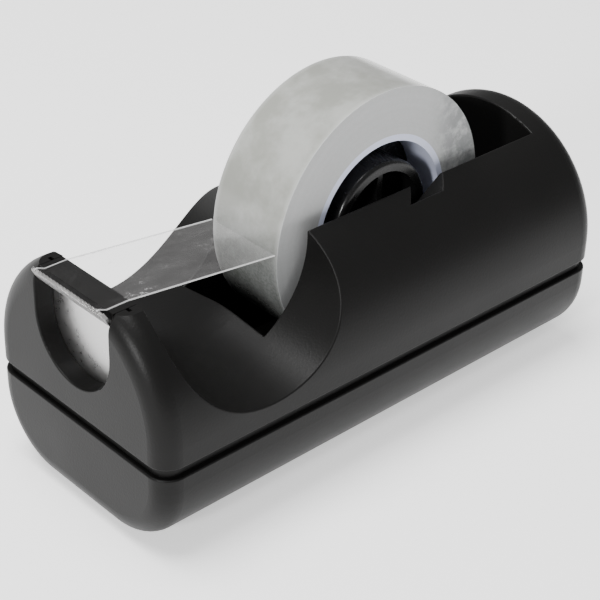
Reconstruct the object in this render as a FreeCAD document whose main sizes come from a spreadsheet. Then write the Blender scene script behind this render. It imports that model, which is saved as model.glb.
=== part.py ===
# Desk dispenser for 15 mm tape on a 26 mm core: a weighted barrel-shaped case
# in two shells, with a drop-in hub and a toothed steel blade in its nose.
# Millimetres. +X runs from the blade to the rear, +Z up, and the origin lies
# on the table under the middle of the case.
import FreeCAD, Part
import math
import os
import Sketcher

doc = FreeCAD.newDocument("tape_dispenser")

# ---------------------------------------------------------------- sizes
sizes = {
    # case
    "total_length": 96.2,
    "body_width": 41.5,
    "body_height": 41.5,
    "lower_radius": 12.6,
    "end_round": 3.6,
    "wall": 2.0,
    "rim_edge": 0.3,
    "mouth_edge": 0.25,
    "ridge_round": 30.0,
    # seam between the two shells
    "seam_height": 17.4,
    "seam_gap": 1.7,
    "lip_inset": 0.9,
    "lip_thick": 1.0,
    "lip_depth": 1.5,
    "lip_fit": 0.05,
    # tape
    "tape_width": 15.0,
    "roll_radius": 22.3,
    "core_radius": 14.4,
    "core_wall": 1.1,
    "film": 0.12,
    "peel_gap": 0.3,
    "peel_rise": 1.7,
    # well that the roll drops into
    "hub_from_front": 55.3,
    "hub_depth": 7.9,
    "side_gap": 2.0,
    "front_gap": 4.1,
    "rear_gap": 11.2,
    "floor_gap": 2.0,
    "well_wall": 1.6,
    # scoop across the case, between the nose and the well
    "scoop_from_front": 21.2,
    "scoop_depth": 3.8,
    "scoop_radius": 15.0,
    "scoop_draft": 5.6,
    "scoop_wall": 1.8,
    # hub, axle and the inclined grooves that carry the axle
    "drum_radius": 10.05,
    "drum_wall": 1.8,
    "hub_proud": 0.2,
    "rim_round": 0.8,
    "ring_fit": 0.15,
    "ring_width": 1.6,
    "web_thick": 1.2,
    "web_depth": 3.4,
    "spoke_thick": 1.1,
    "boss_wall": 1.5,
    "axle_radius": 1.7,
    "axle_fit": 0.06,
    "groove_fit": 0.2,
    "groove_depth": 2.4,
    "axle_end_gap": 0.3,
    "groove_backing": 1.2,
    "groove_margin": 3.5,
    "groove_run": 13.5,
    "groove_angle": 34.0,
    "half_gap": 0.04,
    # nose: finger recess, blade and tape rest
    "recess_radius": 8.85,
    "recess_depth_below_top": 10.2,
    "recess_rim": 1.8,
    "rest_drop": 3.0,
    "rest_thick": 1.3,
    "rest_back": 5.2,
    "rest_fit": 0.1,
    "lug_length": 1.4,
    "lug_reach": 0.9,
    "lug_cover": 0.6,
    "blade_thick": 0.5,
    "blade_back": 3.3,
    "blade_lead": 1.2,
    "blade_lap": 0.8,
    "blade_fit": 0.05,
    "lip_clear": 0.15,
    "tooth_overhang": 0.6,
    "tooth_rise": 0.3,
    "tooth_pitch": 0.8,
    "tooth_depth": 0.9,
    "tape_end_clear": 0.02,
    # ballast
    "ballast_gap": 0.1,
    "rail_height": 1.0,
    "rail_width": 1.2,
    "rail_across": 5.0,
    "plate_width": 21.0,
    "plate_inset": 1.5,
    "block_width": 22.0,
    "block_height": 11.5,
    "block_from_front": 6.6,
    "block_gap": 1.7,
    "block_round": 0.8,
    # screws and their posts
    "post_front": 9.6,
    "post_rear": 11.6,
    "post_gap": 0.3,
    "post_radius": 3.0,
    "post_top": 13.6,
    "screw_head_radius": 2.1,
    "screw_head_height": 1.5,
    "screw_radius": 1.1,
    "screw_seat": 8.6,
    "screw_bite": 7.0,
    "screw_fit": 0.25,
    "pilot_spare": 1.0,
    "socket_radius": 0.8,
    "socket_depth": 0.8,
    # pad under the case
    "pad_proud": 0.6,
    "pad_sunk": 0.6,
    "pad_half_width": 7.2,
    "pad_inset": 7.0,
    "pad_round": 3.0,
}

sheet = doc.addObject("Spreadsheet::Sheet", "Sizes")
for row, (alias, value) in enumerate(sizes.items(), start=1):
    sheet.set("A%d" % row, alias)
    sheet.set("B%d" % row, str(value))
    sheet.setAlias("B%d" % row, alias)
doc.recompute()

# places that several pieces share, as formulas on the sheet
front = "(-Sizes.total_length / 2 + Sizes.tooth_overhang)"
rear = "(Sizes.total_length / 2)"
top = "Sizes.body_height"
half_width = "(Sizes.body_width / 2)"
hub_x = "(%s + Sizes.hub_from_front)" % front
hub_z = "(%s - Sizes.hub_depth)" % top
slot_half = "(Sizes.tape_width / 2 + Sizes.side_gap)"
well_front = "(%s - Sizes.roll_radius - Sizes.front_gap)" % hub_x
well_rear = "(%s + Sizes.roll_radius + Sizes.rear_gap)" % hub_x
well_floor = "(%s - Sizes.roll_radius - Sizes.floor_gap)" % hub_z
scoop_x = "(%s + Sizes.scoop_from_front)" % front
scoop_z = "(%s - Sizes.scoop_depth)" % top
recess_z = "(%s - Sizes.recess_depth_below_top)" % top
rest_top = "(%s - Sizes.rest_drop)" % top
rest_floor = "(%s - Sizes.rest_thick)" % rest_top
blade_floor = "(%s - Sizes.blade_thick)" % rest_floor
blade_x = "(%s + Sizes.blade_back)" % front
lug_end = "(Sizes.recess_radius - Sizes.rest_fit + Sizes.lug_reach)"
lug_top = "(%s - Sizes.lug_cover - Sizes.rest_fit)" % rest_top
base_floor = "(Sizes.pad_proud + Sizes.wall)"
rail_top = "(%s + Sizes.rail_height)" % base_floor
hub_face = "(Sizes.tape_width / 2 + Sizes.hub_proud)"
axle_half = "(%s + Sizes.groove_depth - Sizes.axle_end_gap)" % slot_half
post_across = "(%s + Sizes.well_wall + Sizes.post_gap + Sizes.post_radius)" % slot_half
posts = {
    "front": "(%s + Sizes.post_front)" % front,
    "rear": "(%s - Sizes.post_rear)" % rear,
}
beyond = "5"  # how far a cutter runs past the face it opens


def lug_x(sign, gap):
    """The front (-) or rear (+) face of the bar's lugs, moved out by a gap."""
    middle = "%s + Sizes.rest_back / 2" % front
    return "(%s %s (Sizes.lug_length / 2 + %s))" % (middle, sign, gap)


def value(formula):
    """The number a formula on the sheet stands for."""
    return float(sheet.evalExpression(formula.replace("Sizes.", "")))


# ---------------------------------------------------------------- helpers
def put(obj, x="0", y="0", z="0"):
    for axis, formula in zip("xyz", (x, y, z)):
        obj.setExpression("Placement.Base." + axis, formula)


def box(name, x0, x1, y0, y1, z0, z1):
    solid = doc.addObject("Part::Box", name)
    solid.setExpression("Length", "%s - (%s)" % (x1, x0))
    solid.setExpression("Width", "%s - (%s)" % (y1, y0))
    solid.setExpression("Height", "%s - (%s)" % (z1, z0))
    put(solid, x0, y0, z0)
    return solid


def cylinder(name, radius, length, along, x="0", y="0", z="0"):
    """A cylinder that starts at x, y, z and runs towards +X, +Y or +Z."""
    solid = doc.addObject("Part::Cylinder", name)
    turns = {
        "x": FreeCAD.Rotation(FreeCAD.Vector(0, 1, 0), 90),
        "y": FreeCAD.Rotation(FreeCAD.Vector(1, 0, 0), -90),
        "z": FreeCAD.Rotation(),
    }
    solid.Placement = FreeCAD.Placement(FreeCAD.Vector(), turns[along])
    solid.setExpression("Radius", radius)
    solid.setExpression("Height", length)
    put(solid, x, y, z)
    return solid


def fuse(name, *solids):
    joined = doc.addObject("Part::MultiFuse", name)
    joined.Shapes = list(solids)
    return joined


def cut(name, base, tool):
    left = doc.addObject("Part::Cut", name)
    left.Base = base
    left.Tool = tool
    return left


def common(name, base, tool):
    shared = doc.addObject("Part::Common", name)
    shared.Base = base
    shared.Tool = tool
    return shared


def origin_plane(body, role):
    return next(p for p in body.Origin.OriginFeatures if p.Role == role)


def sketch_on(body, role, name, offset="0"):
    sketch = body.newObject("Sketcher::SketchObject", name)
    sketch.AttachmentSupport = (origin_plane(body, role), [""])
    sketch.MapMode = "FlatFace"
    sketch.setExpression("AttachmentOffset.Base.z", offset)
    return sketch


def name_size(sketch, constraint, name, formula):
    index = sketch.addConstraint(constraint)
    sketch.renameConstraint(index, name)
    sketch.setExpression("Constraints." + name, formula)


def end_edges(shape, *places):
    """Names of the edges that lie flat in the end planes at these x places."""
    names = []
    for index, edge in enumerate(shape.Edges, start=1):
        limits = edge.BoundBox
        for place in places:
            if abs(limits.XMin - place) < 1e-4 and abs(limits.XMax - place) < 1e-4:
                names.append("Edge%d" % index)
    return names


def sharp(shape, edge, least=20):
    """True where an edge's two faces meet at more than this many degrees."""
    sides = shape.ancestorsOfType(edge, Part.Face)
    if len(sides) != 2:
        return False
    middle = edge.valueAt((edge.FirstParameter + edge.LastParameter) / 2)
    first, second = [side.normalAt(*side.Surface.parameter(middle)) for side in sides]
    return math.degrees(first.getAngle(second)) > least


def lies_on(surface, edge):
    """True if an edge's middle and both its ends are on a surface."""
    span = edge.LastParameter - edge.FirstParameter
    places = [edge.valueAt(edge.FirstParameter + share * span) for share in (0, 0.5, 1)]
    return all(surface.distToShape(Part.Vertex(place))[0] < 1e-3 for place in places)


def rounded(name, base, size, edges):
    """A solid with some of its edges rounded to a size from the sheet."""
    fillet = doc.addObject("Part::Fillet", name)
    fillet.Base = base
    numbers = [index for index, edge in enumerate(base.Shape.Edges, start=1)
               if any(edge.isSame(chosen) for chosen in edges)]
    fillet.Edges = [(number, sizes[size], sizes[size]) for number in numbers]
    doc.recompute()
    return fillet


# ---------------------------------------------------------------- case forms
def barrel_form(name, inset, rounded=True):
    """The case's whole outline, shrunk all round by an inset."""
    body = doc.addObject("PartDesign::Body", name)
    sketch = sketch_on(body, "YZ_Plane", name + "_section", "%s + %s" % (front, inset))
    gap = value(inset)
    radius = value(half_width) - gap
    low_radius = sizes["lower_radius"] - gap
    high = value(top) - value(half_width)
    low = sizes["pad_proud"] + sizes["lower_radius"]
    flat = value(half_width) - sizes["lower_radius"]
    floor = sizes["pad_proud"] + gap
    up = FreeCAD.Vector(0, 0, 1)
    point = lambda y, z: FreeCAD.Vector(y, z, 0)
    arc = lambda y, z, r, a, b: Part.ArcOfCircle(Part.Circle(point(y, z), up, r), a, b)
    turn = math.pi / 2
    sketch.addGeometry(arc(0, high, radius, 0, 2 * turn))
    sketch.addGeometry(Part.LineSegment(point(-radius, high), point(-radius, low)))
    sketch.addGeometry(arc(-flat, low, low_radius, 2 * turn, 3 * turn))
    sketch.addGeometry(Part.LineSegment(point(-flat, floor), point(flat, floor)))
    sketch.addGeometry(arc(flat, low, low_radius, 3 * turn, 4 * turn))
    sketch.addGeometry(Part.LineSegment(point(radius, low), point(radius, high)))
    joints = [(0, 2, 1, 1), (1, 2, 2, 1), (2, 2, 3, 1), (3, 2, 4, 1), (4, 2, 5, 1), (5, 2, 0, 1)]
    for joint in joints:
        sketch.addConstraint(Sketcher.Constraint("Tangent", *joint))
    sketch.addConstraint(Sketcher.Constraint("Vertical", 1))
    sketch.addConstraint(Sketcher.Constraint("Vertical", 5))
    sketch.addConstraint(Sketcher.Constraint("Horizontal", 3))
    sketch.addConstraint(Sketcher.Constraint("PointOnObject", 0, 3, -2))
    sketch.addConstraint(Sketcher.Constraint("Equal", 2, 4))
    name_size(sketch, Sketcher.Constraint("Radius", 0, radius), "crown",
              "%s - (%s)" % (half_width, inset))
    name_size(sketch, Sketcher.Constraint("Radius", 2, low_radius), "corner",
              "Sizes.lower_radius - (%s)" % inset)
    name_size(sketch, Sketcher.Constraint("DistanceY", -1, 1, 0, 3, high), "crown_height",
              "%s - %s" % (top, half_width))
    name_size(sketch, Sketcher.Constraint("DistanceY", -1, 1, 3, 1, floor), "floor_height",
              "Sizes.pad_proud + %s" % inset)
    pad = body.newObject("PartDesign::Pad", name + "_length")
    pad.Profile = sketch
    pad.setExpression("Length", "%s - %s - 2 * (%s)" % (rear, front, inset))
    doc.recompute()
    if rounded:
        fillet = body.newObject("PartDesign::Fillet", name + "_ends")
        places = (value(front) + gap, value(rear) - gap)
        fillet.Base = (pad, end_edges(pad.Shape, *places))
        fillet.setExpression("Radius", "Sizes.end_round - (%s)" % inset)
        doc.recompute()
    return body


def case_slice(name, form, z0, z1):
    """The part of a case form between two heights."""
    band = box(name + "_band", "%s - %s" % (front, beyond), "%s + %s" % (rear, beyond),
               "-%s - %s" % (half_width, beyond), "%s + %s" % (half_width, beyond), z0, z1)
    return common(name, form, band)


# ---------------------------------------------------------------- cutters
def scoop_form(name, grow):
    """A round trough across the case that widens from the middle to both sides."""
    reach = "(%s + %s)" % (half_width, beyond)
    sides = []
    for side, turn in (("left", 90), ("right", -90)):
        cone = doc.addObject("Part::Cone", "%s_%s" % (name, side))
        tilt = FreeCAD.Rotation(FreeCAD.Vector(1, 0, 0), turn)
        cone.Placement = FreeCAD.Placement(FreeCAD.Vector(), tilt)
        cone.setExpression("Radius1", "Sizes.scoop_radius + %s" % grow)
        cone.setExpression("Radius2", "Sizes.scoop_radius + %s + %s * tan(Sizes.scoop_draft)"
                           % (grow, reach))
        cone.setExpression("Height", reach)
        put(cone, scoop_x, "0", scoop_z)
        sides.append(cone)
    return fuse(name, *sides)


def well_form(name, grow):
    return box(name, "%s - %s" % (well_front, grow), "%s + %s" % (well_rear, grow),
               "-%s - %s" % (slot_half, grow), "%s + %s" % (slot_half, grow),
               "%s - %s" % (well_floor, grow), "%s + %s" % (top, beyond))


def axle_grooves():
    """Grooves in both well walls: a round seat and a slope that rises to the rear."""
    half = "(Sizes.axle_radius + Sizes.groove_fit)"
    side = "-%s - Sizes.groove_depth" % slot_half
    across = "2 * (%s + Sizes.groove_depth)" % slot_half
    seat = cylinder("groove_seat", half, across, "y", hub_x, side, hub_z)
    slope = doc.addObject("Part::Box", "groove_slope")
    tilt = FreeCAD.Rotation(FreeCAD.Vector(0, 1, 0), -sizes["groove_angle"])
    slope.Placement = FreeCAD.Placement(FreeCAD.Vector(), tilt)
    slope.setExpression("Length", "2 * Sizes.roll_radius")
    slope.setExpression("Width", across)
    slope.setExpression("Height", "2 * " + half)
    put(slope, "%s + %s * sin(Sizes.groove_angle)" % (hub_x, half), side,
        "%s - %s * cos(Sizes.groove_angle)" % (hub_z, half))
    return fuse("axle_grooves", seat, slope)


def finger_recess(name, x0, x1, grow="0"):
    """A U-shaped passage along X that is open at the top."""
    radius = "(Sizes.recess_radius + %s)" % grow
    bowl = cylinder(name + "_bowl", radius, "%s - (%s)" % (x1, x0), "x", x0, "0", recess_z)
    neck = box(name + "_neck", x0, x1, "-" + radius, radius, recess_z, "%s + %s" % (top, beyond))
    return fuse(name, bowl, neck)


def at_posts(make):
    """One piece from make at each of the four screw posts."""
    return [make("%s_%s" % (end, side), x, sign + post_across)
            for end, x in posts.items()
            for side, sign in (("left", "-"), ("right", ""))]


# ---------------------------------------------------------------- shells
def lip_ring(name, outside, inside, z0, z1):
    """A band of the case's outline, between two insets and two heights."""
    ring = cut(name + "_ring", barrel_form(name + "_outside", outside),
               barrel_form(name + "_inside", inside))
    return case_slice(name, ring, z0, z1)


def upper_shell():
    skin = case_slice("upper_skin", barrel_form("upper_outside", "0"),
                      "Sizes.seam_height", "%s + %s" % (top, beyond))
    tub = box("well_tub", "%s - Sizes.well_wall" % well_front, "%s + Sizes.well_wall" % well_rear,
              "-%s - Sizes.well_wall" % slot_half, "%s + Sizes.well_wall" % slot_half,
              "%s - Sizes.well_wall" % well_floor, "Sizes.seam_height + Sizes.wall")
    boss = lambda tag, x, y: cylinder("boss_" + tag, "Sizes.post_radius",
                                      "%s - Sizes.post_top" % top, "z", x, y, "Sizes.post_top")
    foot = lambda tag, x, y: cylinder("boss_foot_" + tag, "Sizes.post_radius",
                                      "Sizes.seam_height + Sizes.wall - Sizes.post_top",
                                      "z", x, y, "Sizes.post_top")
    backing = "(%s + Sizes.groove_depth + Sizes.groove_backing)" % slot_half
    groove_block = box("groove_block", "%s - Sizes.groove_margin" % hub_x,
                       "%s + Sizes.groove_run" % hub_x, "-" + backing, backing,
                       "%s - Sizes.groove_margin" % hub_z, "%s + %s" % (top, beyond))
    keep = fuse("kept_inside", scoop_form("scoop_outside", "Sizes.scoop_wall"),
                well_form("well_outside", "Sizes.well_wall"), groove_block,
                finger_recess("recess_outside", front, "%s + Sizes.recess_rim" % blade_x,
                              "Sizes.recess_rim"), *at_posts(boss))
    hollow = cut("upper_hollow", barrel_form("upper_inside", "Sizes.wall"), keep)
    lip_room = lip_ring("lip_room", "(Sizes.lip_inset - Sizes.lip_fit)",
                        "(Sizes.lip_inset + Sizes.lip_thick + Sizes.lip_fit)",
                        "Sizes.seam_height - %s" % beyond,
                        "Sizes.seam_height + Sizes.lip_depth + Sizes.ring_fit")
    rest_room = box("rest_room", "%s - %s" % (front, beyond),
                    "%s + Sizes.rest_back + %s" % (front, beyond),
                    "-Sizes.recess_radius", "Sizes.recess_radius", blade_floor,
                    "%s + %s" % (top, beyond))
    nose_flat = box("nose_flat", "%s - %s" % (front, beyond),
                    "%s + Sizes.rest_back + %s" % (front, beyond),
                    "-%s - %s" % (half_width, beyond), "%s + %s" % (half_width, beyond),
                    rest_top, "%s + %s" % (top, beyond))
    lug_room = box("lug_room", lug_x("-", "Sizes.rest_fit"), lug_x("+", "Sizes.rest_fit"),
                   "-%s - Sizes.rest_fit" % lug_end, "%s + Sizes.rest_fit" % lug_end,
                   rest_floor, "%s + Sizes.rest_fit" % lug_top)
    lap = "(Sizes.recess_radius + Sizes.blade_lap + Sizes.blade_fit)"
    blade_room = box("blade_room", "%s - Sizes.blade_fit" % blade_x,
                     "%s + Sizes.blade_thick + Sizes.blade_fit" % blade_x, "-" + lap, lap,
                     "%s - %s" % (recess_z, lap), "%s + %s" % (blade_floor, beyond))
    pilot = lambda tag, x, y: cylinder("pilot_" + tag, "Sizes.screw_radius",
                                       "Sizes.screw_bite + Sizes.pilot_spare",
                                       "z", x, y, "Sizes.post_top")
    openings = fuse("upper_openings", hollow, lip_room, well_form("well", "0"),
                    scoop_form("scoop", "0"), axle_grooves(),
                    finger_recess("recess", "%s - %s" % (front, beyond), blade_x),
                    rest_room, nose_flat, lug_room, blade_room, *at_posts(pilot))
    blank = cut("upper_blank", fuse("upper_solid", skin, tub, *at_posts(foot)), openings)
    doc.recompute()
    return soften_upper(blank)


def soften_upper(blank):
    """The upper shell with its ridge and its visible rims rounded."""
    skin = doc.getObject("upper_outside").Shape.Shells[0]
    scoop = doc.getObject("scoop").Shape.Shells[0]
    seam = sizes["seam_height"] + sizes["lip_depth"]

    def ridge(shape, edge):
        limits = edge.BoundBox
        return max(abs(limits.YMin), abs(limits.YMax)) < 1e-3 and lies_on(scoop, edge)

    def rim(shape, edge):
        limits = edge.BoundBox
        if not sharp(shape, edge):
            return False
        if limits.XMin > value(scoop_x) and limits.ZMin > seam and lies_on(scoop, edge):
            return True
        behind_rest = limits.XMax > value(front) + sizes["rest_back"] + sizes["wall"]
        low = limits.ZMax < seam
        return (behind_rest or low) and lies_on(skin, edge) and limits.DiagonalLength > 1

    def mouth(shape, edge):
        limits = edge.BoundBox
        at_front = limits.XMin < value(front) + 1e-3 and limits.ZMin > seam
        return at_front and sharp(shape, edge) and lies_on(skin, edge)

    steps = [("ridge", "ridge_round", ridge), ("mouth", "mouth_edge", mouth),
             ("upper_shell", "rim_edge", rim)]
    for name, size, wanted in steps:
        shape = blank.Shape
        blank = rounded(name, blank, size, [edge for edge in shape.Edges if wanted(shape, edge)])
    return blank


def lower_shell():
    skin = case_slice("lower_skin", barrel_form("lower_outside", "0"),
                      "0", "Sizes.seam_height - Sizes.seam_gap")
    lip = lip_ring("lip", "Sizes.lip_inset", "(Sizes.lip_inset + Sizes.lip_thick)",
                   "Sizes.seam_height - Sizes.seam_gap - Sizes.wall",
                   "Sizes.seam_height + Sizes.lip_depth")
    tower = lambda tag, x, y: cylinder("tower_" + tag, "Sizes.post_radius",
                                       "Sizes.post_top - Sizes.half_gap", "z", x, y)
    rails = [box("rail_" + side, "%s + %s" % (front, beyond), "%s - %s" % (rear, beyond),
                 "%s - Sizes.rail_width / 2" % y, "%s + Sizes.rail_width / 2" % y,
                 "Sizes.pad_proud", rail_top)
             for side, y in (("left", "-Sizes.rail_across"), ("right", "Sizes.rail_across"))]
    hollow = cut("lower_hollow", barrel_form("lower_inside", "Sizes.wall"),
                 fuse("towers", *at_posts(tower), *rails))
    counterbore = lambda tag, x, y: cylinder(
        "counterbore_" + tag, "Sizes.screw_head_radius + Sizes.screw_fit",
        "Sizes.screw_seat + %s" % beyond, "z", x, y, "-" + beyond)
    shaft = lambda tag, x, y: cylinder("shaft_hole_" + tag, "Sizes.screw_radius + Sizes.screw_fit",
                                       "Sizes.post_top", "z", x, y)
    pad_room = pad_form("pad_room", "0", "Sizes.pad_proud + Sizes.pad_sunk")
    openings = fuse("lower_openings", hollow, pad_room, *at_posts(counterbore), *at_posts(shaft))
    blank = cut("lower_blank", fuse("lower_solid", skin, lip), openings)
    doc.recompute()
    outline = doc.getObject("lower_outside").Shape.Shells[0]
    top_of_base = sizes["seam_height"] - sizes["seam_gap"]
    rim = [edge for edge in blank.Shape.Edges
           if abs(edge.BoundBox.ZMin - top_of_base) < 1e-3 and edge.BoundBox.ZLength < 1e-3
           and lies_on(outline, edge)]
    return rounded("lower_shell", blank, "rim_edge", rim)


# ---------------------------------------------------------------- pad, ballast, screws
def pad_form(name, z0, z1):
    body = doc.addObject("PartDesign::Body", name)
    sketch = sketch_on(body, "XY_Plane", name + "_outline", z0)
    x0 = value(front) + sizes["pad_inset"]
    x1 = value(rear) - sizes["pad_inset"]
    y1 = sizes["pad_half_width"]
    corners = [(x0, -y1), (x1, -y1), (x1, y1), (x0, y1)]
    for start, end in zip(corners, corners[1:] + corners[:1]):
        sketch.addGeometry(Part.LineSegment(FreeCAD.Vector(*start, 0), FreeCAD.Vector(*end, 0)))
    for line in range(4):
        sketch.addConstraint(Sketcher.Constraint("Coincident", line, 2, (line + 1) % 4, 1))
        direction = "Horizontal" if line % 2 == 0 else "Vertical"
        sketch.addConstraint(Sketcher.Constraint(direction, line))
    name_size(sketch, Sketcher.Constraint("DistanceX", 0, 1, -1, 1, -x0), "front_end",
              "-(%s + Sizes.pad_inset)" % front)
    name_size(sketch, Sketcher.Constraint("DistanceX", -1, 1, 0, 2, x1), "rear_end",
              "%s - Sizes.pad_inset" % rear)
    name_size(sketch, Sketcher.Constraint("DistanceY", 0, 1, -1, 1, y1), "near_side",
              "Sizes.pad_half_width")
    name_size(sketch, Sketcher.Constraint("DistanceY", -1, 1, 2, 1, y1), "far_side",
              "Sizes.pad_half_width")
    pad = body.newObject("PartDesign::Pad", name + "_thickness")
    pad.Profile = sketch
    pad.setExpression("Length", "%s - (%s)" % (z1, z0))
    doc.recompute()
    upright = ["Edge%d" % index for index, edge in enumerate(pad.Shape.Edges, start=1)
               if edge.BoundBox.ZLength > edge.BoundBox.XLength + edge.BoundBox.YLength]
    fillet = body.newObject("PartDesign::Fillet", name + "_corners")
    fillet.Base = (pad, upright)
    fillet.setExpression("Radius", "Sizes.pad_round")
    return body


def base_pad():
    return pad_form("base_pad", "0", "Sizes.pad_proud + Sizes.pad_sunk")


def ballast_plate():
    """A flat steel plate on the base's rails, under the well."""
    length = ("%s - Sizes.well_wall + Sizes.plate_inset" % well_front,
              "%s + Sizes.well_wall - Sizes.plate_inset" % well_rear)
    return box("ballast_plate", *length, "-Sizes.plate_width / 2", "Sizes.plate_width / 2",
               rail_top, "%s - Sizes.well_wall - Sizes.ballast_gap" % well_floor)


def ballast_block():
    """A cast block on the rails, in the nose in front of the well."""
    blank = box("ballast_blank", "%s + Sizes.block_from_front" % front,
                "%s - Sizes.well_wall - Sizes.block_gap" % well_front,
                "-Sizes.block_width / 2", "Sizes.block_width / 2",
                rail_top, rail_top + " + Sizes.block_height")
    doc.recompute()
    return rounded("ballast_block", blank, "block_round", blank.Shape.Edges)


def case_screws():
    """Four screws that come up through the base into the upper shell."""
    pieces = []
    for end, x in posts.items():
        for side, y in (("left", "-" + post_across), ("right", post_across)):
            tag = "%s_%s" % (end, side)
            head = cylinder("head_" + tag, "Sizes.screw_head_radius", "Sizes.screw_head_height",
                            "z", x, y, "Sizes.screw_seat - Sizes.screw_head_height")
            shank = cylinder("shank_" + tag, "Sizes.screw_radius",
                             "Sizes.post_top - Sizes.screw_seat + Sizes.screw_bite",
                             "z", x, y, "Sizes.screw_seat")
            socket = cylinder("socket_" + tag, "Sizes.socket_radius", "Sizes.socket_depth",
                              "z", x, y, "Sizes.screw_seat - Sizes.screw_head_height")
            pieces.append(cut("screw_" + tag, fuse("screw_blank_" + tag, head, shank), socket))
    group = doc.addObject("Part::Compound", "case_screws")
    group.Links = pieces
    return group


# ---------------------------------------------------------------- nose
def tape_rest():
    """The bar that the loose end of the tape sticks to, keyed into both cheeks."""
    across = "(Sizes.recess_radius - Sizes.rest_fit)"
    bar = box("rest_bar", "%s + Sizes.blade_lead" % front, "%s + Sizes.rest_back" % front,
              "-" + across, across, rest_floor, rest_top)
    lugs = box("rest_lugs", lug_x("-", "0"), lug_x("+", "0"), "-" + lug_end, lug_end,
               rest_floor, lug_top)
    return fuse("tape_rest", bar, lugs)


def lip_line():
    """The foot and the tip of the toothed lip's front face, in the XZ plane."""
    tip = FreeCAD.Vector(value(front) - sizes["tooth_overhang"], 0,
                         value(rest_top) + sizes["tooth_rise"])
    x_fold = value(front) + sizes["blade_lead"] - sizes["blade_thick"] - sizes["lip_clear"]
    return FreeCAD.Vector(x_fold, 0, value(blade_floor)), tip


def cutter_blade():
    """Steel strip: a toothed lip in front of the bar, a shelf under it and a leg
    that closes the back of the finger recess."""
    thick = sizes["blade_thick"]
    half = sizes["recess_radius"] - sizes["rest_fit"]
    foot, tip = lip_line()
    x_fold, z_shelf = foot.x, foot.z
    x_leg = value(blade_x)
    z_leg = value(recess_z) - sizes["recess_radius"] - sizes["blade_lap"]
    lap = half + sizes["blade_lap"]
    lean = (tip - foot).normalize()
    across = FreeCAD.Vector(-lean.z, 0, lean.x)
    point = FreeCAD.Vector
    x_shelf = x_fold + thick / 2
    shelf = Part.makeBox(x_leg + thick - x_shelf, 2 * half, thick, point(x_shelf, -half, z_shelf))
    leg = Part.makeBox(thick, 2 * lap, z_shelf - z_leg, point(x_leg, -lap, z_leg))
    lip_length = (tip - foot).Length
    lip_root = lip_length - sizes["tooth_depth"]
    count = int(2 * half / sizes["tooth_pitch"])
    pitch = 2 * half / count
    outline = [(-half, 0), (half, 0), (half, lip_root)]
    for tooth in range(count):
        start = half - tooth * pitch
        outline.append((start - pitch / 2, lip_length))
        outline.append((start - pitch, lip_root))
    places = [foot + point(0, y, 0) + lean * up for y, up in outline]
    lip = Part.Face(Part.makePolygon(places + places[:1])).extrude(across * -thick)
    blade = doc.addObject("Part::Feature", "cutter_blade")
    blade.Shape = shelf.fuse([leg, lip]).removeSplitter()
    return blade


# ---------------------------------------------------------------- tape
def ring(name, outer, inner, length, y):
    whole = cylinder(name + "_outside", outer, length, "y", hub_x, y, hub_z)
    bore = cylinder(name + "_bore", inner, length + " + 2 * " + beyond, "y", hub_x,
                    "%s - %s" % (y, beyond), hub_z)
    return cut(name, whole, bore)


def tape_core():
    return ring("tape_core", "Sizes.core_radius", "Sizes.core_radius - Sizes.core_wall",
                "Sizes.tape_width", "-Sizes.tape_width / 2")


def tape_roll():
    return ring("tape_roll", "Sizes.roll_radius", "Sizes.core_radius",
                "Sizes.tape_width", "-Sizes.tape_width / 2")


def tape_strip():
    """The loose end: from the roll, straight to the bar, along it and over the teeth."""
    film = sizes["film"]
    z_peel = value(hub_z) + sizes["peel_rise"]
    reach = (sizes["roll_radius"] + sizes["peel_gap"] + film) ** 2 - sizes["peel_rise"] ** 2
    x_peel = value(hub_x) - reach ** 0.5
    z_bar = value(rest_top)
    x_bar = value(front) + sizes["rest_back"]
    x_edge = value(front) + sizes["blade_lead"]
    foot, tip = lip_line()
    lean = (tip - foot).normalize()
    crest = tip + FreeCAD.Vector(lean.z, 0, -lean.x) * sizes["blade_thick"]
    z_end = crest.z + sizes["tape_end_clear"]
    low = [(x_peel, z_peel), (x_bar, z_bar), (x_edge, z_bar), (crest.x, z_end), (tip.x, z_end)]
    high = [(x, z + film) for x, z in reversed(low)]
    points = [FreeCAD.Vector(x, -sizes["tape_width"] / 2, z) for x, z in low + high]
    strip = doc.addObject("Part::Feature", "tape_strip")
    outline = Part.Face(Part.makePolygon(points + points[:1]))
    strip.Shape = outline.extrude(FreeCAD.Vector(0, sizes["tape_width"], 0))
    return strip


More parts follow.
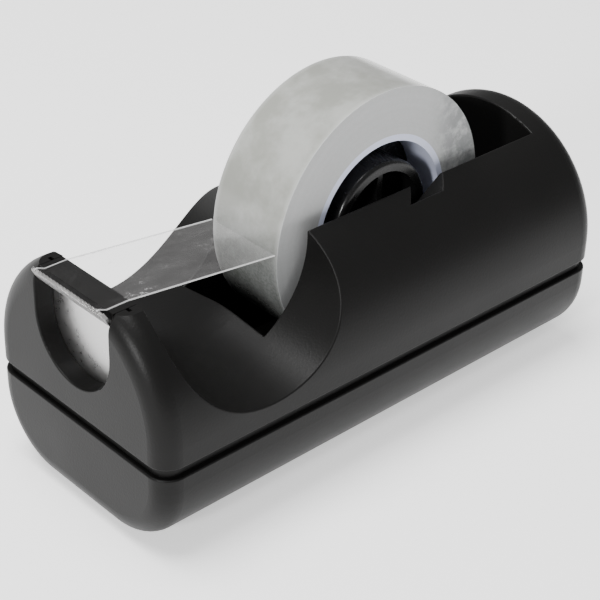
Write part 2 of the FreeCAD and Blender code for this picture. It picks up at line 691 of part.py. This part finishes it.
# ---------------------------------------------------------------- hub
def hub_half(side, sign):
    """Half of the two-part hub: an open drum with a web, spokes and a bearing boss."""
    name = "hub_" + side
    inner = "Sizes.half_gap / 2"
    length = "%s - Sizes.half_gap / 2" % hub_face
    start = lambda near, reach: near if sign > 0 else "-(%s) - (%s)" % (near, reach)
    bore = "(Sizes.axle_radius + Sizes.axle_fit)"
    drum = cylinder(name + "_drum", "Sizes.drum_radius", length, "y", hub_x,
                    start(inner, length), hub_z)
    rim = doc.addObject("Part::Fillet", name + "_rounded")
    rim.Base = drum
    doc.recompute()
    rim.Edges = [(index, sizes["rim_round"], sizes["rim_round"])
                 for index, edge in enumerate(drum.Shape.Edges, start=1)
                 if edge.BoundBox.YLength < 1e-6
                 and abs(abs(edge.BoundBox.YMin) - value(hub_face)) < 1e-6]
    flange = cylinder(name + "_flange", "Sizes.core_radius - Sizes.core_wall - Sizes.ring_fit",
                      "Sizes.ring_width / 2", "y", hub_x, start(inner, "Sizes.ring_width / 2"),
                      hub_z)
    dish_near = "(%s - Sizes.web_depth)" % hub_face
    dish = cylinder(name + "_dish", "Sizes.drum_radius - Sizes.drum_wall",
                    "Sizes.web_depth + " + beyond, "y", hub_x,
                    start(dish_near, "Sizes.web_depth + " + beyond), hub_z)
    back_length = "(%s - Sizes.web_thick - %s)" % (dish_near, inner)
    back = cylinder(name + "_back", "Sizes.drum_radius - Sizes.drum_wall",
                    back_length + " + " + beyond, "y", hub_x,
                    start(inner + " - " + beyond, back_length + " + " + beyond), hub_z)
    boss = cylinder(name + "_boss", "%s + Sizes.boss_wall" % bore, length, "y", hub_x,
                    start(inner, length), hub_z)
    spokes = []
    for step in range(4):
        spoke = doc.addObject("Part::Box", "%s_spoke_%d" % (name, step))
        turn = FreeCAD.Rotation(FreeCAD.Vector(0, 1, 0), 90 * step)
        offset = turn.multVec(FreeCAD.Vector(0, 0, -sizes["spoke_thick"] / 2))
        spoke.Placement = FreeCAD.Placement(FreeCAD.Vector(), turn)
        spoke.setExpression("Length", "Sizes.drum_radius - Sizes.drum_wall / 2")
        spoke.setExpression("Width", "Sizes.web_depth - Sizes.rim_round")
        spoke.setExpression("Height", "Sizes.spoke_thick")
        put(spoke, "%s + %r" % (hub_x, offset.x),
            start(dish_near, "Sizes.web_depth - Sizes.rim_round"),
            "%s + %r" % (hub_z, offset.z))
        spokes.append(spoke)
    hollow = cut(name + "_hollow", fuse(name + "_spaces", dish, back),
                 fuse(name + "_inside", boss, *spokes))
    axle_hole = cylinder(name + "_axle_hole", bore, length + " + 2 * " + beyond, "y", hub_x,
                         start(inner + " - " + beyond, length + " + 2 * " + beyond), hub_z)
    return cut(name, fuse(name + "_solid", rim, flange),
               fuse(name + "_openings", hollow, axle_hole))


def hub_axle():
    return cylinder("hub_axle", "Sizes.axle_radius", "2 * " + axle_half, "y", hub_x,
                    "-" + axle_half, hub_z)


# ---------------------------------------------------------------- build and write
pieces = [
    upper_shell(), lower_shell(), base_pad(), ballast_plate(), ballast_block(), case_screws(),
    cutter_blade(), tape_rest(), tape_strip(),
    hub_axle(), hub_half("left", -1), hub_half("right", 1), tape_core(), tape_roll(),
]
doc.recompute()

for obj in doc.Objects:
    if "Invalid" in obj.State or "Error" in obj.State:
        raise RuntimeError("%s could not be built: %s" % (obj.Label, obj.State))

os.makedirs("parts", exist_ok=True)
for piece in pieces:
    shape = piece.Shape
    if shape.isNull() or not shape.isValid() or not shape.Solids:
        raise RuntimeError("%s has no valid solid" % piece.Label)
    shape.exportStep("parts/%s.step" % piece.Label)
    print("%-14s %d solid(s) %9.1f mm3" % (piece.Label, len(shape.Solids), shape.Volume))
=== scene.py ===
# Looks for a desk tape dispenser: a matte black moulded case with a steel cutter,
# a frosted roll of clear tape on a white core and a black drop-in hub.
# Metres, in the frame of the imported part: +X to the rear, +Z up.
import math

import bpy
from mathutils import Matrix, Vector

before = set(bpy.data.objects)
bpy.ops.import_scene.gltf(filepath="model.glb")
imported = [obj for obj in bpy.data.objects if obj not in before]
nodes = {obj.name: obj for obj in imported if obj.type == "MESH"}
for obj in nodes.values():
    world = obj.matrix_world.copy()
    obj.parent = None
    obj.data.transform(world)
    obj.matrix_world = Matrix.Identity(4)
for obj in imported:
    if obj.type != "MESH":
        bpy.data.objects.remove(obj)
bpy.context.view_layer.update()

camera = {
    "azimuth": -43.5,
    "elevation": 31.9,
    "roll": 1.6,
    "distance": 0.1807,
    "target": (-0.0551, -0.0556, 0.0666),
    "lens": 99.3,  # millimetres, as is the sensor
    "sensor": 36.0,
    "nearest": 0.01,
    "farthest": 10.0,
}


def makeCamera(values):
    data = bpy.data.cameras.new("camera")
    data.lens = values["lens"]
    data.sensor_width = values["sensor"]
    data.clip_start = values["nearest"]
    data.clip_end = values["farthest"]
    azimuth = math.radians(values["azimuth"])
    elevation = math.radians(values["elevation"])
    back = Vector((math.sin(azimuth) * math.cos(elevation),
                   -math.cos(azimuth) * math.cos(elevation),
                   math.sin(elevation)))
    place = Matrix.Translation(Vector(values["target"]) + back * values["distance"])
    turn = (-back).to_track_quat("-Z", "Y").to_matrix().to_4x4()
    roll = Matrix.Rotation(math.radians(values["roll"]), 4, "Z")
    viewer = bpy.data.objects.new("camera", data)
    viewer.matrix_world = place @ turn @ roll
    bpy.context.scene.collection.objects.link(viewer)
    bpy.context.scene.camera = viewer


makeCamera(camera)
print("camera made")


class Sock:
    # A node's output, or a number, that Python's operators work on
    def __init__(self, tree, link):
        self.tree = tree
        self.link = link

    def math(self, operation, *others, clamp=False):
        return addNode(self.tree, "ShaderNodeMath", {"operation": operation, "use_clamp": clamp},
                       dict(enumerate((self,) + others)))

    def __add__(self, other):
        return self.math("ADD", other)

    def __radd__(self, other):
        return self.math("ADD", other)

    def __sub__(self, other):
        return self.math("SUBTRACT", other)

    def __rsub__(self, other):
        return Sock(self.tree, other).math("SUBTRACT", self)

    def __mul__(self, other):
        return self.math("MULTIPLY", other)

    def __rmul__(self, other):
        return self.math("MULTIPLY", other)

    def __pow__(self, other):
        return self.math("POWER", other)

    def __abs__(self):
        return self.math("ABSOLUTE")

    def sine(self):
        return self.math("SINE")

    def clamp(self):
        return self.math("ADD", 0.0, clamp=True)


def plug(tree, socket, value):
    if isinstance(value, Sock):
        value = value.link
    if isinstance(value, bpy.types.NodeSocket):
        tree.links.new(value, socket)
    else:
        socket.default_value = value


def addNode(tree, kind, settings, inputs, out=0):
    node = tree.nodes.new(kind)
    for setting, value in settings.items():
        setattr(node, setting, value)
    for socket, value in inputs.items():
        plug(tree, node.inputs[socket], value)
    return Sock(tree, node.outputs[out])


class Finish:
    # A material in the making: constants go straight onto the shader's own sockets
    def __init__(self, name, **constants):
        self.material = bpy.data.materials.new(name)
        self.material.use_nodes = True
        self.tree = self.material.node_tree
        self.shader = self.tree.nodes["Principled BSDF"]
        self.set(**constants)
        self.place = self.node("ShaderNodeTexCoord", {}, {}, "Object")

    def set(self, **sockets):
        for socket, value in sockets.items():
            plug(self.tree, self.shader.inputs[socket.replace("_", " ")], value)
        return self.material

    def node(self, kind, settings, inputs, out=0):
        return addNode(self.tree, kind, settings, inputs, out)

    def noise(self, pattern, place=None):
        scale, detail, roughness = pattern
        return self.node("ShaderNodeTexNoise", {"noise_dimensions": "3D"},
                         {"Vector": place or self.place, "Scale": scale, "Detail": detail,
                          "Roughness": roughness})

    def cells(self, scale):
        return self.node("ShaderNodeTexVoronoi", {}, {"Vector": self.place, "Scale": scale})

    def stretched(self, scale):
        return self.node("ShaderNodeMapping", {}, {"Vector": self.place, "Scale": scale})

    def axes(self, vector=None):
        inputs = {"Vector": vector or self.place}
        return [self.node("ShaderNodeSeparateXYZ", {}, inputs, letter) for letter in "XYZ"]

    def upward(self):
        normal = self.node("ShaderNodeNewGeometry", {}, {}, "Normal")
        return self.axes(normal)[2]

    def range(self, value, low, high, start=0.0, end=1.0):
        return self.node("ShaderNodeMapRange", {"interpolation_type": "SMOOTHSTEP"},
                         {"Value": value, "From Min": low, "From Max": high, "To Min": start,
                          "To Max": end})

    def mix(self, share, first, second):
        # The colour sockets of a Mix node are its seventh and eighth, and its third output
        return self.node("ShaderNodeMix", {"data_type": "RGBA"},
                         {0: share, 6: first, 7: second}, 2)

    def bump(self, height, depth, strength):
        return self.node("ShaderNodeBump", {}, {"Height": height, "Distance": depth,
                                                "Strength": strength})


def grey(level, warmth=0.0):
    return (level * (1 + warmth), level, level * (1 - warmth), 1)


def vary(level, *patterns):
    # Each pattern moves the level up and down round its own middle
    for pattern, spread in patterns:
        level = level + spread * (pattern - 0.5)
    return level


def boxOf(nodeName):
    corners = [Vector(corner) for corner in nodes[nodeName].bound_box]
    low = Vector(min(corner[axis] for corner in corners) for axis in range(3))
    high = Vector(max(corner[axis] for corner in corners) for axis in range(3))
    return low, high


# In every finish a noise pattern is its scale, its detail and its roughness
casePlastic = {
    "colour": 0.0055,
    "warmth": 0.03,
    "mottle": 0.12,
    "ior": 1.5,
    "specular": 0.13,
    "cloud": (60.0, 4.0, 0.6),
    "smudge": (25.0, 5.0, 0.65),
    "smudgeFade": (0.45, 0.7),
    "dustTilt": (0.5, 1.0),
    "dustShare": 0.25,
    "dustPaler": 1.7,
    "rough": 0.40,
    "roughSpread": 0.10,
    "smudgeShine": 0.05,
    "grainScale": 2600.0,
    "fineGrain": (4420.0, 3.0, 0.5),
    "grainShare": 0.6,
    "grainDepth": 0.00003,
    "grainStrength": 0.55,
}


def makeCasePlastic(name, values):
    # Moulded black plastic with a fine spark-eroded grain and faint handling marks
    finish = Finish(name, IOR=values["ior"], Specular_IOR_Level=values["specular"])
    level, warmth, mottle = values["colour"], values["warmth"], values["mottle"]
    cloud = finish.noise(values["cloud"])
    smudge = finish.range(finish.noise(values["smudge"]), *values["smudgeFade"])
    shade = finish.mix(cloud, grey(level * (1 - mottle), warmth),
                       grey(level * (1 + mottle), warmth))
    dust = finish.range(finish.upward(), *values["dustTilt"]) * smudge * values["dustShare"]
    shade = finish.mix(dust.clamp(), shade, grey(level * values["dustPaler"], warmth))
    rough = vary(values["rough"], (cloud, values["roughSpread"]))
    rough = rough - values["smudgeShine"] * smudge
    height = (finish.cells(values["grainScale"]) * values["grainShare"]
              + finish.noise(values["fineGrain"]) * (1 - values["grainShare"]))
    grain = finish.bump(height, values["grainDepth"], values["grainStrength"])
    return finish.set(Base_Color=shade, Roughness=rough.clamp(), Normal=grain)


hubPlastic = {
    "dark": 0.0051,
    "pale": 0.0075,
    "ior": 1.5,
    "specular": 0.3,
    "cloud": (140.0, 4.0, 0.6),
    "scratch": (700.0, 3.0, 0.7),
    "along": (1.0, 0.15, 1.0),
    "rough": 0.27,
    "roughScratch": 0.12,
    "roughCloud": 0.06,
    "scratchDepth": 0.000012,
    "scratchStrength": 0.5,
}


def makeHubPlastic(name, values):
    # Smoother satin plastic, with faint marks across it from handling
    finish = Finish(name, IOR=values["ior"], Specular_IOR_Level=values["specular"])
    cloud = finish.noise(values["cloud"])
    scratch = finish.noise(values["scratch"], finish.stretched(values["along"]))
    shade = finish.mix(cloud, grey(values["dark"]), grey(values["pale"]))
    rough = vary(values["rough"], (scratch, values["roughScratch"]),
                 (cloud, values["roughCloud"]))
    marks = finish.bump(scratch, values["scratchDepth"], values["scratchStrength"])
    return finish.set(Base_Color=shade, Roughness=rough.clamp(), Normal=marks)


bladeStrip = {
    "dark": 0.46,
    "pale": 0.60,
    "warmth": 0.01,
    "lines": (900.0, 4.0, 0.7),
    "along": (0.04, 1.0, 1.0),
    "stain": (180.0, 4.0, 0.6),
    "lineShare": 0.55,
    "rough": 0.30,
    "roughLines": 0.18,
    "roughStain": 0.10,
    "lineDepth": 0.00001,
    "lineStrength": 0.35,
}
ballastSheet = dict(bladeStrip, rough=0.45, along=(1.0, 0.04, 1.0))
turnedSteel = dict(bladeStrip, dark=0.18, pale=0.30, along=(1.0, 1.0, 0.2))


def makeSteel(name, values):
    # Cold-rolled or turned steel with fine lines and faint stains
    finish = Finish(name, Metallic=1.0)
    lines = finish.noise(values["lines"], finish.stretched(values["along"]))
    stain = finish.noise(values["stain"])
    tone = (lines * values["lineShare"] + stain * (1 - values["lineShare"])).clamp()
    shade = finish.mix(tone, grey(values["dark"], values["warmth"]),
                       grey(values["pale"], values["warmth"]))
    rough = vary(values["rough"], (lines, values["roughLines"]), (stain, values["roughStain"]))
    rolled = finish.bump(lines, values["lineDepth"], values["lineStrength"])
    return finish.set(Base_Color=shade, Roughness=rough.clamp(), Normal=rolled)


woundTape = {
    "ior": 1.46,
    "specular": 0.55,
    "coat": 0.5,
    "coatRough": 0.12,
    "turn": 0.00016,
    "coarse": (900.0, 2.0, 0.6),
    "blotch": (420.0, 5.0, 0.7),
    "soft": (120.0, 4.0, 0.6),
    "speck": (2200.0, 3.0, 0.7),
    "faceEdge": (0.0002, 0.00002),  # in from the roll's sides
    "faceDark": (0.30, 0.305, 0.30, 1),
    "facePale": (0.50, 0.505, 0.51, 1),
    "faceShares": (0.30, 0.35, 0.35),  # rings, coarse bands, specks
    "rear": (0.009, 0.017),  # behind the roll's middle, where the faces get painted shade
    "rearBlotch": (0.30, 0.60),
    # Painted shade on the faces: the dark case behind, seen through the clear turns
    "paintedFaceShadeDark": (0.07, 0.075, 0.075, 1),
    "paintedFaceShadePale": (0.30, 0.31, 0.31, 1),
    "rearShares": (0.6, 0.4),  # face tone, blotches
    "low": (-0.011, 0.001),  # above the roll's middle; painted shade fades in below this
    "lowLean": 0.35,
    "lowOnFace": 0.25,
    "lowOutside": 0.72,
    "lowSpread": 0.5,
    "lowBlotch": (0.38, 0.62),
    # Painted shade low down: the dark case under the roll, seen through the film, painted into
    # its colour
    "paintedWellShadeDark": (0.045, 0.050, 0.050, 1),
    "paintedWellShadePale": (0.16, 0.17, 0.165, 1),
    "outsideFade": (0.35, 0.65),
    "outsideDark": (0.26, 0.265, 0.24, 1),
    "outsidePale": (0.36, 0.365, 0.345, 1),
    "rimWidth": 0.0011,
    "rimShare": 0.22,
    "rimColour": (0.62, 0.63, 0.62, 1),
    "roughFace": (0.40, 0.12),  # level, spread
    "roughOutside": (0.24, 0.10),
    "softHeight": 0.4,
    "depth": 0.00002,
    "strength": 0.4,
}


def makeWoundTape(name, values):
    # Many turns of clear film: milky where light passes, fine edge lines on the faces,
    # cloudy streaks round the roll, and painted shade low down for the dark case seen through
    low, high = boxOf("tape_roll")
    halfWidth = (high.y - low.y) / 2
    finish = Finish(name, IOR=values["ior"], Specular_IOR_Level=values["specular"],
                    Coat_Roughness=values["coatRough"])
    centred = finish.node("ShaderNodeMapping", {"vector_type": "POINT"},
                          {"Vector": finish.place, "Location": -(low + high) / 2})
    x, y, z = finish.axes(centred)
    across = abs(y)
    radius = (x * x + z * z) ** 0.5
    onFace = finish.range(across, *(halfWidth - inset for inset in values["faceEdge"]))
    ring = (radius * (2 * math.pi / values["turn"])).sine() * 0.5 + 0.5
    byRadius = finish.node("ShaderNodeCombineXYZ", {}, {"X": radius})
    coarse = finish.noise(values["coarse"], byRadius)
    blotch = finish.noise(values["blotch"])
    soft = finish.noise(values["soft"])
    speck = finish.noise(values["speck"])
    # Mask of painted shade: darker low down, where the dark case under the roll is seen through
    paintedWellShadeMask = finish.range(z + values["lowLean"] * x, *values["low"], 1.0, 0.0)

    # Faces: pale edge lines, with painted shade as a darker mottle to the rear and low down, for
    # the dark case seen through the film
    ringShare, coarseShare, speckShare = values["faceShares"]
    tone = (ringShare * ring + coarseShare * coarse + speckShare * speck).clamp()
    face = finish.mix(tone, values["faceDark"], values["facePale"])
    toneShare, blotchShare = values["rearShares"]
    paintedFaceShade = finish.mix((tone * toneShare + blotch * blotchShare).clamp(),
                         values["paintedFaceShadeDark"], values["paintedFaceShadePale"])
    rearPaintedShadeMask = finish.range(x, *values["rear"]) * finish.range(blotch, *values["rearBlotch"])
    # Painted shade on the faces, to the rear and low down, mottled by the blotch pattern
    face = finish.mix((rearPaintedShadeMask + paintedWellShadeMask * values["lowOnFace"]).clamp(), face, paintedFaceShade)

    # Outside: cloudy, with painted shade low down for the dark case under the roll seen through,
    # and paler rims
    outside = finish.mix(finish.range(soft, *values["outsideFade"]), values["outsideDark"],
                         values["outsidePale"])
    paintedWellShade = finish.mix(finish.range(blotch * 0.6 + speck * 0.4, *values["lowBlotch"]),
                      values["paintedWellShadeDark"], values["paintedWellShadePale"])
    paintedWellShadeShare = paintedWellShadeMask * vary(values["lowOutside"], (blotch, values["lowSpread"]))
    outside = finish.mix(paintedWellShadeShare.clamp(), outside, paintedWellShade)
    rim = finish.range(across, halfWidth - values["rimWidth"], halfWidth)
    outside = finish.mix(rim * values["rimShare"], outside, values["rimColour"])

    faceLevel, faceSpread = values["roughFace"]
    outsideLevel, outsideSpread = values["roughOutside"]
    rough = (vary(faceLevel, (speck, faceSpread)) * onFace
             + vary(outsideLevel, (soft, outsideSpread)) * (1 - onFace))
    height = (ring * 0.5 + speck * 0.5) * onFace + soft * values["softHeight"] * (1 - onFace)
    return finish.set(Base_Color=finish.mix(onFace, outside, face), Roughness=rough.clamp(),
                      Normal=finish.bump(height, values["depth"], values["strength"]),
                      Coat_Weight=(1 - onFace) * values["coat"])


clearFilm = {
    "ior": 1.46,
    "specular": 0.6,
    "edge": (0.0071, 0.0074),  # out from the middle of the tape
    "edgeHaze": 0.45,
    "streak": (260.0, 5.0, 0.7),
    "along": (0.5, 1.4, 1.0),
    "speck": (1100.0, 3.0, 0.75),
    "crumbFade": (0.55, 0.66),
    "overBar": (-0.0428, -0.0420),  # the rest's bar ends between these
    "gatherFront": (-0.0428, -0.0412),
    "gatherRear": (-0.0405, -0.0345),
    "gatherHaze": 0.5,
    "haze": 0.055,
    "hazeStreak": 0.06,
    "hazeCrumbs": 0.05,
    "hazeOnBar": 0.25,
    "clear": (0.62, 0.61, 0.61, 1),
    "dusty": (0.85, 0.85, 0.85, 1),
    "rough": 0.196,
    "roughStreak": 0.18,
    "depth": 0.00002,
    "strength": 0.35,
}


def makeFilm(name, values):
    # Clear film: brighter at its edges and where the adhesive has picked up dust
    finish = Finish(name, IOR=values["ior"], Specular_IOR_Level=values["specular"])
    finish.material.surface_render_method = "BLENDED"
    x, y, z = finish.axes()
    edge = finish.range(abs(y), *values["edge"])
    streak = finish.noise(values["streak"], finish.stretched(values["along"]))
    speck = finish.noise(values["speck"])
    crumbs = finish.range(streak * 0.5 + speck * 0.5, *values["crumbFade"])
    gather = (finish.range(x, *values["gatherRear"], 1.0, 0.0)
              * finish.range(x, *values["gatherFront"]))
    behindBar = finish.range(x, *values["overBar"])
    haze = vary(values["haze"], (streak, values["hazeStreak"])) + values["hazeCrumbs"] * crumbs
    haze = haze * (values["hazeOnBar"] + (1 - values["hazeOnBar"]) * behindBar)
    haze = haze + values["gatherHaze"] * gather * crumbs
    alpha = (haze + edge * values["edgeHaze"]).clamp()
    colour = finish.mix((edge + crumbs * 0.5).clamp(), values["clear"], values["dusty"])
    rough = vary(values["rough"], (streak, values["roughStreak"]))
    ripple = finish.bump(streak * 0.7 + speck * 0.3, values["depth"], values["strength"])
    return finish.set(Base_Color=colour, Roughness=rough.clamp(), Alpha=alpha, Normal=ripple)


corePlastic = {
    "dark": (0.50, 0.53, 0.68, 1),
    "pale": (0.62, 0.65, 0.78, 1),
    "ior": 1.49,
    "cloud": (150.0, 3.0, 0.5),
    "marks": (900.0, 3.0, 0.6),
    "along": (1.0, 0.1, 1.0),
    "rough": 0.38,
    "roughMarks": 0.15,
    "depth": 0.00001,
    "strength": 0.4,
}


def makeCore(name, values):
    # White moulded core, a little blue, with fine marks across it
    finish = Finish(name, IOR=values["ior"])
    marks = finish.noise(values["marks"], finish.stretched(values["along"]))
    shade = finish.mix(finish.noise(values["cloud"]), values["dark"], values["pale"])
    rough = vary(values["rough"], (marks, values["roughMarks"]))
    return finish.set(Base_Color=shade, Roughness=rough.clamp(),
                      Normal=finish.bump(marks, values["depth"], values["strength"]))


foam = {
    "dark": 0.010,
    "pale": 0.035,
    "ior": 1.4,
    "cellScale": 1400.0,
    "cellFade": (0.1, 0.6),
    "rough": 0.82,
    "roughCells": 0.15,
    "depth": 0.0001,
    "strength": 0.8,
}


def makeFoam(name, values):
    # Dense black foam with open cells
    finish = Finish(name, IOR=values["ior"])
    cell = finish.cells(values["cellScale"])
    shade = finish.mix(finish.range(cell, *values["cellFade"]), grey(values["dark"]),
                       grey(values["pale"]))
    rough = vary(values["rough"], (cell, values["roughCells"]))
    return finish.set(Base_Color=shade, Roughness=rough.clamp(),
                      Normal=finish.bump(cell, values["depth"], values["strength"]))


iron = {
    "dark": grey(0.06, 0.03),
    "pale": grey(0.16, 0.05),
    "metallic": 0.6,
    "lumps": (500.0, 5.0, 0.7),
    "rough": 0.6,
    "roughLumps": 0.2,
    "depth": 0.0001,
    "strength": 0.7,
}


def makeIron(name, values):
    # Rough cast ballast
    finish = Finish(name, Metallic=values["metallic"])
    lumps = finish.noise(values["lumps"])
    rough = vary(values["rough"], (lumps, values["roughLumps"]))
    return finish.set(Base_Color=finish.mix(lumps, values["dark"], values["pale"]),
                      Roughness=rough.clamp(),
                      Normal=finish.bump(lumps, values["depth"], values["strength"]))


caseBlack = makeCasePlastic("caseBlack", casePlastic)
hubBlack = makeHubPlastic("hubBlack", hubPlastic)
bladeSteel = makeSteel("bladeSteel", bladeStrip)
plateSteel = makeSteel("plateSteel", ballastSheet)
screwSteel = makeSteel("screwSteel", turnedSteel)
tapeWound = makeWoundTape("tapeWound", woundTape)
tapeFilm = makeFilm("tapeFilm", clearFilm)
coreWhite = makeCore("coreWhite", corePlastic)
padFoam = makeFoam("padFoam", foam)
castIron = makeIron("castIron", iron)
print("finishes made")

# The CAD nodes keep their shapes and get their finishes
finishOfNode = {
    "upper_shell": caseBlack,
    "lower_shell": caseBlack,
    "tape_rest": caseBlack,
    "base_pad": padFoam,
    "ballast_plate": plateSteel,
    "ballast_block": castIron,
    "case_screws": screwSteel,
    "cutter_blade": bladeSteel,
    "hub_axle": screwSteel,
    "hub_left": hubBlack,
    "hub_right": hubBlack,
    "tape_core": coreWhite,
    "tape_roll": tapeWound,
    "tape_strip": tapeFilm,
}
for nodeName, material in finishOfNode.items():
    slots = nodes[nodeName].data.materials
    slots.clear()
    slots.append(material)
print("CAD nodes finished")

floorSheet = {
    "size": 6.0,
    "colour": (0.86, 0.86, 0.86, 1),
    "paler": (0.8772, 0.8772, 0.8772, 1),
    "cloud": (3.0, 3.0, 0.5),
    "rough": 0.9,
    "glow": 0.75,  # a lit table's, which whitens it and lights the case from below
}
lamps = {
    "keyLeft": {"place": (-0.72, -0.22, 0.34), "aim": (-0.03, 0.0, 0.03), "size": 0.10,
                "power": 4.5},
    "topSoft": {"place": (-0.15, 0.10, 0.85), "aim": (0.0, 0.0, 0.03), "size": 0.45,
                "power": 12.0},
}
sky = {"colour": (1.0, 1.0, 1.0, 1), "strength": 0.40}


def makeFloor(values):
    bpy.ops.object.select_all(action="DESELECT")
    bpy.ops.mesh.primitive_plane_add(size=values["size"], location=(0, 0, 0))
    floor = bpy.context.object
    floor.name = "floor"
    finish = Finish("floorPale", Roughness=values["rough"], Emission_Color=(1, 1, 1, 1),
                    Emission_Strength=values["glow"])
    cloud = finish.noise(values["cloud"])
    floor.data.materials.append(
        finish.set(Base_Color=finish.mix(cloud, values["colour"], values["paler"])))


def makeLamp(lampName, values):
    data = bpy.data.lights.new(lampName, "AREA")
    data.size = values["size"]
    data.energy = values["power"]
    lamp = bpy.data.objects.new(lampName, data)
    lamp.location = values["place"]
    lamp.rotation_mode = "QUATERNION"
    towards = Vector(values["aim"]) - Vector(values["place"])
    lamp.rotation_quaternion = towards.to_track_quat("-Z", "Y")
    bpy.context.scene.collection.objects.link(lamp)


def makeSky(values):
    world = bpy.data.worlds.new("studio")
    world.use_nodes = True
    background = world.node_tree.nodes["Background"]
    background.inputs["Color"].default_value = values["colour"]
    background.inputs["Strength"].default_value = values["strength"]
    bpy.context.scene.world = world


makeFloor(floorSheet)
for lampName, lampValues in lamps.items():
    makeLamp(lampName, lampValues)
makeSky(sky)
print("studio made")
